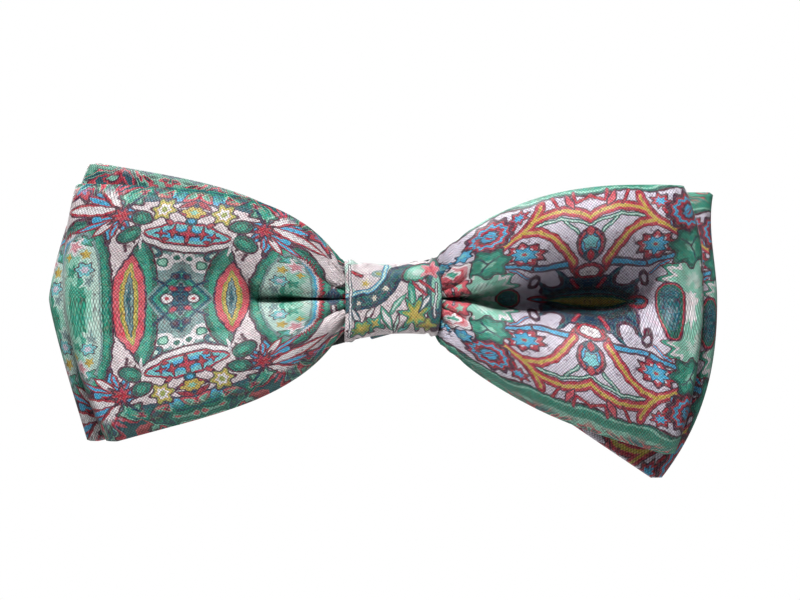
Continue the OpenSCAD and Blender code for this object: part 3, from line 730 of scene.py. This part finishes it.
def edge_height(wing, x, reach, upper):
    """How far the upper or lower edge is from the middle line, at x."""
    corner = wing["top" if upper else "bottom"][1]
    power, steady = wing["top_curve" if upper else "bottom_curve"]
    t = np.clip((x - WAIST_X) / (reach - WAIST_X), 0, 1)
    climb = (1 - steady) * (1 - (1 - t) ** power) + steady * t
    start = wing["start"][0 if upper else 1]
    free = start + (corner - start) * climb
    held = mix(GATHERED[0], GATHERED[1], np.clip(x / WAIST_X, 0, 1) ** 2)
    return mix(held, free, smooth((x - wing["free_from"]) / FREE_RUN))


def end_reach(wing, v):
    line = mix(wing["bottom"][0], wing["top"][0], (v + 1) / 2)
    power, skew = wing["swell"]
    return line + wing["end"] * (1 - np.abs(v) ** power) * (1 + skew * v) - END_RADIUS


# %% [markdown]
# ## Wings: the gathered face
# The face of each front wing has the valley that the gathering leaves: short
# and narrow on the left, and on the right a V that opens into a deep hollow.
# Fine pleats fan out from the knot, and the edges roll back.

# %% the face of a front wing
TUCKED = 0.3


def pleats(x, z, amount, count):
    """Small folds that fan out from where the knot holds the cloth."""
    out = np.clip(x - WAIST_X + 3.0, 0.01, None)
    far = np.hypot(out, z)
    angle = np.arctan2(z, out)
    wander = 0.5 * np.sin(0.31 * far + 2.0 * angle)
    return amount * np.exp(-((far - 4.5) / 6.5) ** 2) * np.cos(count * angle + wander)


def wrinkles(x, z, seed):
    """Slow, shallow unevenness of handled cloth."""
    total = 0.0
    for k in range(1, 5):
        a, b = 0.11 * k + 0.03 * seed, 0.17 * k - 0.02 * seed
        total = total + np.sin(a * x + b * z + 1.7 * k + seed) * np.cos(b * x - a * z + 0.9 * k) / k
    return total


def front_face(wing, side, t, v):
    reach = end_reach(wing, v)
    x = t * reach
    edge = np.where(v > 0, edge_height(wing, x, reach, True), edge_height(wing, x, reach, False))
    high = np.abs(v)
    wider = mix(1.0, np.where(v > 0, wing["upper"], 1.0), smooth((x - 20) / 10))
    width = np.minimum(through(x, wing["width"]) * wider, 0.52 * edge)
    in_valley = np.clip(high / TUCKED, 0, 1)
    outside = np.clip((high - TUCKED) / (1 - TUCKED), 0, 1)
    size = width * in_valley + (edge - width) * outside
    sharp = 1 - in_valley ** wing["crease"]
    soft = np.where(v > 0, 1 - in_valley ** 2.6, 0.5 * (1 + np.cos(math.pi * in_valley)))
    valley = through(x, wing["depth"]) * mix(sharp, soft, smooth((x - 18) / 14))
    z = np.sign(v) * size + wing["rise"] * valley / 7 * smooth((x - 20) / 14)
    puff = through(x, wing["puff"])
    lobe = 0.5 + 0.5 * np.sin(math.pi * (0.2 + 0.68 * outside))
    base = mix(FRONT_FACE_Y, FRONT_FACE_Y - 2.7, smooth((t - 0.17) / 0.83))
    roll = through(x, ((0, 0), (9, 0), (16, 1.4), (60, 1.8))) * smooth((high - 0.86) / 0.14) ** 2
    y = base - puff * lobe + valley + roll
    folds = pleats(x, z, 0.5, 15) + pleats(x * 1.6 - 5, z, 0.22, 37)
    y = y + folds * smooth((x - 7.5) / 1.5) + 0.16 * wrinkles(x, z, 1 + side) * smooth((x - 10) / 8)
    print_h = np.where(v > 0, *wing["print_h"])
    mid_edge = np.where(v > 0, edge_height(wing, np.full_like(x, 34.0), reach, True),
                        edge_height(wing, np.full_like(x, 34.0), reach, False))
    scale = print_h / np.minimum(edge, mid_edge)
    at_valley = print_h - (edge - width) * scale
    v_cloth = np.where(high < TUCKED, at_valley * in_valley, print_h - (edge - size) * scale)
    drift = wing["drift"] * (1 - v * v) * x / 38
    return x, y, z, x - drift, np.sign(v) * v_cloth


def front_back(wing, side, t, v):
    reach = end_reach(wing, v)
    x = t * reach
    edge = np.where(v > 0, edge_height(wing, x, reach, True), edge_height(wing, x, reach, False))
    y = mix(FRONT_BACK_Y, FRONT_FACE_Y + 0.5, smooth((t - 0.17) / 0.83))
    y = y + 0.9 * np.exp(-((x - 35) / 12) ** 2) * (1 - v * v)
    turned = (2 * end_reach(wing, v) / end_reach(wing, 0 * v) + 0.09 - t) * wing["length"]
    return x, y, v * edge, turned, v * np.where(v > 0, *wing["print_h"])


# %% [markdown]
# ## Wings: the rear loop
# The rear loop is a plainer strip behind the front one; only its edges show
# from the face, but its back shows from behind, bellied and lightly creased.

# %% the two sheets of the rear loop
def rear_face(wing, side, t, v):
    reach = end_reach(wing, v)
    x = t * reach
    edge = np.where(v > 0, edge_height(wing, x, reach, True), edge_height(wing, x, reach, False))
    y = mix(REAR_FACE_Y, REAR_FACE_Y - 0.3, smooth((t - 0.17) / 0.83)) + 0 * v
    return x, y, v * edge, t * wing["length"] - 10, v * wing["print_h"][0] + 3


def rear_back(wing, side, t, v):
    reach = end_reach(wing, v)
    x = t * reach
    edge = np.where(v > 0, edge_height(wing, x, reach, True), edge_height(wing, x, reach, False))
    belly = 2.7 * np.sin(math.pi * np.clip((t - 0.15) / 0.85, 0, 1) ** 0.8) ** 2 * (0.5 + 0.5 * (1 - v * v))
    z = v * edge
    y = mix(REAR_BACK_Y, REAR_BACK_Y + 0.9, smooth((t - 0.17) / 0.83)) + belly
    y = y - 0.4 * np.abs(pleats(x, z, 1.0, 11)) * smooth((x - 8) / 2) + 0.12 * wrinkles(x, z, 4 + side)
    return x, y, z, (2.06 - t) * wing["length"] - 10, v * wing["print_h"][0] + 3


# %% [markdown]
# ## Wings: from two sheets to one strip
# The two sheets are joined by half a turn at each end, and the strip is
# given its thickness along its own normals, with rounded upper and lower
# edges, as doubled cloth turned over an interlining has.

# %% sweep a loop
def strip_middle(wings, face, back, face_steps, fold_steps, back_steps, v):
    """Middle surface round the loop, as a grid of points and cloth coordinates."""
    points, flats, sides = [], [], []
    for side, forward in ((1, True), (-1, False)):
        wing = wings[side]
        t = (np.linspace(0, 1, face_steps) ** 1.25)[:, None]
        grid = face(wing, side, t, v[None, :])
        tb = (np.linspace(1, 0, back_steps) ** 1.1)[:, None]
        behind = back(wing, side, tb, v[None, :])
        rows = [np.stack(np.broadcast_arrays(*grid), axis=-1)]
        start, end = rows[0][-1], np.stack(np.broadcast_arrays(*behind), axis=-1)[0]
        for k in range(1, fold_steps):
            turn = math.pi * k / fold_steps
            middle = mix(start, end, 0.5 - 0.5 * math.cos(turn))
            middle[:, 0] = middle[:, 0] + END_RADIUS * math.sin(turn)
            middle[:, 3] = start[:, 3] + 1.6 * END_RADIUS * turn
            rows.append(middle[None])
        behind = np.stack(np.broadcast_arrays(*behind), axis=-1)
        behind[..., 3] = behind[..., 3] - behind[0:1, :, 3] + start[:, 3] + 1.6 * END_RADIUS * math.pi
        rows.append(behind)
        strip = np.concatenate(rows)
        strip[..., 0] = strip[..., 0] * side
        if forward:
            strip = strip[:-1]
        else:
            strip = strip[::-1][:-1]
        points.append(strip[..., :3])
        flats.append(strip[..., 3:])
        sides.append(np.full(len(strip), side))
    return np.concatenate(points), np.concatenate(flats), np.concatenate(sides)


def surface_normals(points):
    along = np.roll(points, -1, axis=0) - np.roll(points, 1, axis=0)
    across = np.gradient(points, axis=1)
    normal = np.cross(along, across)
    return normal / np.maximum(np.linalg.norm(normal, axis=-1, keepdims=True), 1e-9)


def thick_strip(name, middle, flats, sides, half, materials, inner_every=3):
    """A closed strip of cloth round its middle surface."""
    normal = surface_normals(middle)
    rows = middle.shape[1]
    inner = np.arange(rows - 1, -1, -inner_every)
    top = middle[:, -1:] + np.array([0, 0, half * 0.6])
    bottom = middle[:, :1] - np.array([0, 0, half * 0.6])
    ring = np.concatenate([middle + normal * half, top, (middle - normal * half)[:, inner], bottom], axis=1)
    over_top, under_bottom = flats[:, -1:] + [0, 0.6], flats[:, :1] - [0, 0.6]
    flat = np.concatenate([flats, over_top, flats[:, inner] + [0, 1.2], under_bottom], axis=1)
    flat = np.concatenate([flat, flat[:, :1]], axis=1)
    flat = np.concatenate([flat, flat[:1]], axis=0)
    faces = ring_faces(ring.shape[0], ring.shape[1])
    of_row = (sides > 0).astype(int)
    indices = np.repeat(of_row, ring.shape[1])
    return new_piece(name, ring, faces, ring_uv(flat), materials, indices if len(materials) > 1 else None)


FINE = 2
V_ROWS = np.linspace(-1, 1, 24 * FINE * 2 + 1)
FOLD_STEPS = 10
PRINTS_AND_HOLLOW_SHADE = (print_left, print_right_and_hollow_shade)
front_middle, front_flat, front_sides = strip_middle(
    FRONT_WINGS, front_face, front_back, 55 * FINE, FOLD_STEPS, 24 * FINE, V_ROWS)
front_loop = thick_strip("front_loop_cloth", front_middle, front_flat, front_sides, CLOTH_T / 2, PRINTS_AND_HOLLOW_SHADE)
rear_middle, rear_flat, rear_sides = strip_middle(
    REAR_WINGS, rear_face, rear_back, 24 * FINE, FOLD_STEPS, 40 * FINE, V_ROWS)
rear_loop = thick_strip("rear_loop_cloth", rear_middle, rear_flat, rear_sides, CLOTH_T / 2, PRINTS_AND_HOLLOW_SHADE)
print("front loop points:", len(front_loop.data.vertices), "rear:", len(rear_loop.data.vertices))


# %% [markdown]
# ## Interlinings of the loops
# Inside each loop a soft interlining follows the cloth, a little smaller.

# %% interlinings
LINING_HALF_T = 0.2


def lining_of(name, middle, flats, sides):
    rows = slice(4, middle.shape[1] - 4, 4)
    return thick_strip(name, middle[::2, rows], flats[::2, rows], sides[::2], LINING_HALF_T,
                       (lining_felt,), inner_every=1)


front_lining = lining_of("front_interlining_felt", front_middle, front_flat, front_sides)
rear_lining = lining_of("rear_interlining_felt", rear_middle, rear_flat, rear_sides)


# %% [markdown]
# ## Knot band
# A strip of the same print, its long edges turned under, wrapped round the
# waist. It is pulled in at its middle and flares at its sides, where the
# turned edges make a small raised border.

# %% knot band
KNOT_HALF_W = 8.5
KNOT_HALF_D = 6.2
KNOT_MID_H = 6.25
KNOT_FLARE = {-1: 1.2, 1: 0.75}
KNOT_SLOPE = 0.047
KNOT_PINCH = {-1: 0.25, 1: 0.8}
KNOT_CORNER = 2.6
KNOT_T = 0.8


def rounded_path(half_y, half_z, corner, steps):
    """Points round a rounded rectangle, from the middle of its face, going up."""
    points = [(-half_y, 0.0)]
    for cy, cz, start in ((-1, 1, 180), (1, 1, 90), (1, -1, 0), (-1, -1, -90)):
        for k in range(steps + 1):
            a = math.radians(start - 90 * k / steps)
            points.append((cy * (half_y - corner) + corner * math.cos(a),
                           cz * (half_z - corner) + corner * math.sin(a)))
    return np.array(points)


def resampled(path, count):
    closed = np.concatenate([path, path[:1]])
    length = np.concatenate([[0], np.cumsum(np.linalg.norm(np.diff(closed, axis=0), axis=1))])
    even = np.linspace(0, length[-1], count + 1)
    place = np.stack([np.interp(even, length, closed[:, k]) for k in (0, 1)], axis=-1)
    return place[:-1], even


def saddle_band(name, outer, inner, half_w, count, across, materials, border=0.0):
    xs = np.linspace(-half_w, half_w, across)
    edge_round = np.array([(math.cos(a), math.sin(a)) for a in np.linspace(math.pi / 2, -math.pi / 2, 5)])
    mid, half = (outer + inner) / 2, (inner - outer) / 2
    profile = [(x, outer) for x in xs]
    profile += [(half_w + half * c, mid - half * s) for c, s in edge_round[1:-1]]
    profile += [(x, inner) for x in xs[::-2]]
    profile += [(-half_w - half * c, mid + half * s) for c, s in edge_round[1:-1]]
    columns, flats = [], []
    for x, depth in profile:
        side = -1 if x < 0 else 1
        height = KNOT_MID_H + KNOT_FLARE[side] * (x / KNOT_HALF_W) ** 2
        raised = border * math.exp(-((abs(x) - half_w + 0.9) / 0.45) ** 2) if depth == outer else 0.0
        groove = border * 1.2 * math.exp(-((abs(x) - half_w + 1.8) / 0.4) ** 2) if depth == outer else 0.0
        inset = depth - raised + groove
        around = rounded_path(KNOT_HALF_D - inset, height - inset, KNOT_CORNER - inset, 8)
        path, even = resampled(around, count)
        pinched = x - KNOT_PINCH[side] * abs(x / half_w) ** 3 * (path[:, 1] / height) ** 2
        columns.append(np.column_stack([pinched, KNOT_Y + path[:, 0], path[:, 1]]))
        signed = np.where(even > even[-1] / 2, even - even[-1], even)
        flats.append(np.column_stack([np.full(count + 1, x), signed]))
    grid = np.stack(columns, axis=1)
    flat = np.stack(flats + [flats[0]], axis=1)
    if border:
        front = smooth((KNOT_Y - 3 - grid[..., 1]) / 3)
        grid[..., 1] += front * 0.22 * np.sin(0.75 * grid[..., 0] + 0.35 * grid[..., 2] + 0.6)
        grid[..., 1] -= front * 0.5 * (1 - (grid[..., 2] / 8) ** 2)
    grid[..., 2] += KNOT_SLOPE * grid[..., 0]
    uv = ring_uv(flat).reshape(-1, 4, 2)[:, ::-1].reshape(-1, 2)
    return new_piece(name, grid, ring_faces(count, grid.shape[1])[:, ::-1], uv, materials)


# The knot's print lays painted highlight, rimmed with painted shade, along the band's turned edges.
knot_band = saddle_band("knot_band_cloth", 0.0, KNOT_T, KNOT_HALF_W - 0.3, 160, 41,
                        (print_knot_and_edge_highlights,), border=0.28)
knot_lining = saddle_band("knot_interlining_felt", KNOT_T + 0.1, KNOT_T + 0.6, KNOT_HALF_W - 0.9, 72, 9,
                          (lining_felt,))


# %% [markdown]
# ## Keeper loop
# A flat loop of the same print, sewn to the back of the knot, through which
# the neck band slides.

# %% keeper loop
KEEPER_HALF_W = 6.0


def keeper_ring():
    low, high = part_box("keeper_loop")
    depth = (high[1] - low[1]) / MM
    middle_y = (high[1] + low[1]) / 2 / MM
    half_h = 10.5 / 2 + 0.3 + 0.25
    count, t = 96, 0.4
    outer, even = resampled(rounded_path(depth / 2, half_h, 0.9, 6), count)
    inner, _ = resampled(rounded_path(depth / 2 - t, half_h - t, 0.5, 6), count)
    profile = [(x, 0.0) for x in np.linspace(-KEEPER_HALF_W + 0.2, KEEPER_HALF_W - 0.2, 13)]
    profile += [(KEEPER_HALF_W, 0.5)]
    profile += [(x, 1.0) for x in np.linspace(KEEPER_HALF_W - 0.2, -KEEPER_HALF_W + 0.2, 7)]
    profile += [(-KEEPER_HALF_W, 0.5)]
    drawn = [mix(outer, inner, k) + (middle_y, -0.2) for x, k in profile]
    grid = np.stack([np.column_stack([np.full(count, x), ring])
                     for (x, k), ring in zip(profile, drawn)], axis=1)
    flat = np.stack([np.column_stack([np.full(count + 1, x + 4), even - 9])
                     for x, k in profile + profile[:1]], axis=1)
    faces = ring_faces(count, len(profile))[:, ::-1]
    uv = ring_uv(flat).reshape(-1, 4, 2)[:, ::-1].reshape(-1, 2)
    return new_piece("keeper_loop_cloth", leaned(grid, BAND_LEAN), faces, uv, (print_knot_and_edge_highlights,))


keeper_loop = keeper_ring()


# %% [markdown]
# ## Neck band
# One length of black grosgrain ribbon. From the hem of its tail it goes round
# the hook, is folded back and forth, passes through the keeper behind the
# knot, is folded again on the other side and ends sewn round the eye.

# %% neck band
RIBBON_W = 10.5
RIBBON_T = 0.45
FOLD_X = 50.0
LEVELS = [-4.7, -3.1, -2.4, -1.7, -1.0, -0.3]
LIFTED = 0.7
TAIL = 1.6
PIN_TURN = 0.8
LEFT_INNER = -17.0
RIGHT_INNER = 30.0
EYE_X = 13.0
HOOK_X = 28.0


def bend(x, y_from, y_to, way, steps=10):
    """Half a turn from one level to another, bulging towards way."""
    middle, radius = (y_from + y_to) / 2, (y_to - y_from) / 2
    angles = [math.pi * k / steps for k in range(1, steps)]
    return [(x + way * abs(radius) * math.sin(a), middle - radius * math.cos(a)) for a in angles]


def run(x_from, x_to, y, sag=0.0):
    count = max(2, int(abs(x_to - x_from) / 1.5))
    return [(mix(x_from, x_to, k / count), y + sag * math.sin(math.pi * k / count)) for k in range(count + 1)]


def ribbon_path():
    tail_x = HOOK_X + 19.6
    path = run(tail_x - 1.4, tail_x, TAIL + 0.52) + bend(tail_x, TAIL + 0.52, TAIL, 1)
    path += run(tail_x, HOOK_X + 4, TAIL) + [(HOOK_X + 2.6, TAIL + 0.3), (HOOK_X, LIFTED + 2 * PIN_TURN)]
    path += bend(HOOK_X, LIFTED + 2 * PIN_TURN, LIFTED, -1) + run(HOOK_X, FOLD_X, LIFTED)
    levels = LEVELS[::-1]
    path += bend(FOLD_X, LIFTED, levels[1], 1) + run(FOLD_X, RIGHT_INNER, levels[1])
    path += bend(RIGHT_INNER, levels[1], levels[2], -1) + run(RIGHT_INNER, FOLD_X, levels[2])
    path += bend(FOLD_X, levels[2], levels[3], 1) + run(FOLD_X, RIGHT_INNER, levels[3])
    path += bend(RIGHT_INNER, levels[3], levels[4], -1) + run(RIGHT_INNER, FOLD_X, levels[4])
    path += bend(FOLD_X, levels[4], levels[5], 1) + run(FOLD_X, -FOLD_X, levels[5])
    path += bend(-FOLD_X, levels[5], levels[4], -1) + run(-FOLD_X, LEFT_INNER, levels[4])
    path += bend(LEFT_INNER, levels[4], levels[3], 1) + run(LEFT_INNER, -FOLD_X, levels[3])
    path += bend(-FOLD_X, levels[3], levels[2], -1) + run(-FOLD_X, LEFT_INNER, levels[2])
    path += bend(LEFT_INNER, levels[2], levels[1], 1) + run(LEFT_INNER, -FOLD_X, levels[1])
    path += bend(-FOLD_X, levels[1], levels[0], -1) + run(-FOLD_X, EYE_X, levels[0])
    sewn_end = levels[0] - 2 * PIN_TURN
    path += bend(EYE_X, levels[0], sewn_end, 1) + run(EYE_X, EYE_X - 7, sewn_end)
    return np.array(path)


def ribbon(name, path, width, thick, material):
    ahead = np.gradient(path, axis=0)
    ahead = ahead / np.linalg.norm(ahead, axis=1, keepdims=True)
    normal = np.column_stack([-ahead[:, 1], ahead[:, 0]])
    length = np.concatenate([[0], np.cumsum(np.linalg.norm(np.diff(path, axis=0), axis=1))])
    edge = width / 2
    profile = [(z, 0.5) for z in np.linspace(-edge + 0.15, edge - 0.15, 9)] + [(edge, 0.0)]
    profile += [(z, -0.5) for z in np.linspace(edge - 0.15, -edge + 0.15, 9)] + [(-edge, 0.0)]
    grid = np.stack([np.column_stack([path + normal * thick * k, np.full(len(path), z)])
                     for z, k in profile], axis=1)
    flat = np.stack([np.column_stack([length, np.full(len(path), z)])
                     for z, k in profile + profile[:1]], axis=1)
    sides = ring_faces(len(path), len(profile), closed_rows=False)
    uv = ring_uv(flat)
    piece = new_piece(name, leaned(grid, BAND_LEAN), sides, uv, (material,))
    return piece, length[-1]


neck_band, band_length = ribbon("neck_band_ribbon", ribbon_path(), RIBBON_W, RIBBON_T, black_ribbon)
print("neck band length, mm:", round(band_length, 1))


# %% [markdown]
# ## Frame nodes that stay
# The hardware, the stitches, the gathering thread and the keeper's tack are
# already their real shapes, so they keep them and get their finishes.

# %% finishes of the frame's nodes
FINISHES = {
    "gather_thread": pale_thread, "waist_stitches": pale_thread, "knot_stitches": pale_thread,
    "keeper_tack": pale_thread, "band_eye_stitches": black_thread, "band_tip_stitches": black_thread,
    "slider": nickel, "hook": nickel, "eye": nickel,
}
for node_name, material in FINISHES.items():
    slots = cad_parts[node_name].data.materials
    slots.clear()
    slots.append(material)


# %% [markdown]
# ## Riding and replacing
# Each piece moves with its body and stands for its frame node. The loops are
# sheets gathered at the waist, the neck band is a sheet folded on itself.

# %% attach the pieces
ATTACHED = [
    (front_loop, "bow", "front_loop", "printed_satin"),
    (rear_loop, "bow", "rear_loop", "printed_satin"),
    (front_lining, "bow", "front_interlining", "interlining"),
    (rear_lining, "bow", "rear_interlining", "interlining"),
    (knot_band, "bow", "knot_band", "printed_satin"),
    (knot_lining, "bow", "knot_interlining", "interlining"),
    (keeper_loop, "keeper", "keeper_loop", "printed_satin"),
    (neck_band, "band", "neck_band", "black_ribbon"),
]
for piece, body, replaced, slot in ATTACHED:
    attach(piece, body)
    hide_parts(replaced)


# %% [markdown]
# ## Floor and light
# A plain pale floor well below, and soft light: the key above and in front, a
# faint fill from the front and another source for the back. The surround is
# dim, so that hollows stay dark, but the camera sees it as white.

# %% floor and light
FLOOR_Z = -450.0
FLOOR_HALF = 1500.0
floor_points = np.array([[x * FLOOR_HALF, y * FLOOR_HALF, FLOOR_Z]
                         for x, y in ((-1, -1), (1, -1), (1, 1), (-1, 1))])
floor_paint, floor_tree, floor_shader = new_material("floor_paint_matt")
speckle = add(floor_tree, "TexNoise", {"Scale": 40.0, "Detail": 3.0})
floor_colour = blend_colour(floor_tree, speckle.outputs[0], ink("F4F4F3"), ink("EFEFEE"))
floor_tree.links.new(floor_colour, floor_shader.inputs["Base Color"])
floor_shader.inputs["Roughness"].default_value = 0.9
lift = math_node(floor_tree, "MULTIPLY", add(floor_tree, "LightPath").outputs["Is Camera Ray"], 0.8)
floor_tree.links.new(floor_colour, floor_shader.inputs["Emission Color"])
floor_tree.links.new(lift, floor_shader.inputs["Emission Strength"])
floor = new_piece("floor", floor_points, np.array([[0, 1, 2, 3]]), materials=(floor_paint,))


def area_light(name, place, size, power, aim=(0, -15, 0)):
    data = bpy.data.lights.new(name, "AREA")
    data.size = size * MM
    data.energy = power
    light = bpy.data.objects.new(name, data)
    light.location = [c * MM for c in place]
    way = np.array(aim, dtype=float) - np.array(place, dtype=float)
    flat_way = math.hypot(way[0], way[1])
    light.rotation_euler = (math.atan2(flat_way, -way[2]), 0, math.atan2(way[1], way[0]) - math.pi / 2)
    bpy.context.collection.objects.link(light)
    return light


area_light("key_above", (-60, -500, 640), 200, 11.2)
area_light("fill_front", (60, -800, 160), 300, 0.12)
area_light("fill_behind", (-300, 600, 380), 500, 7.0)

world = bpy.data.worlds.new("studio")
world.use_nodes = True
bpy.context.scene.world = world
sky_tree = world.node_tree
seen = add(sky_tree, "LightPath").outputs["Is Camera Ray"]
glow = blend_colour(sky_tree, seen, (0.022, 0.022, 0.026, 1), (1, 1, 1, 1))
sky_tree.links.new(glow, sky_tree.nodes["Background"].inputs["Color"])
bpy.context.scene.view_settings.view_transform = "Standard"
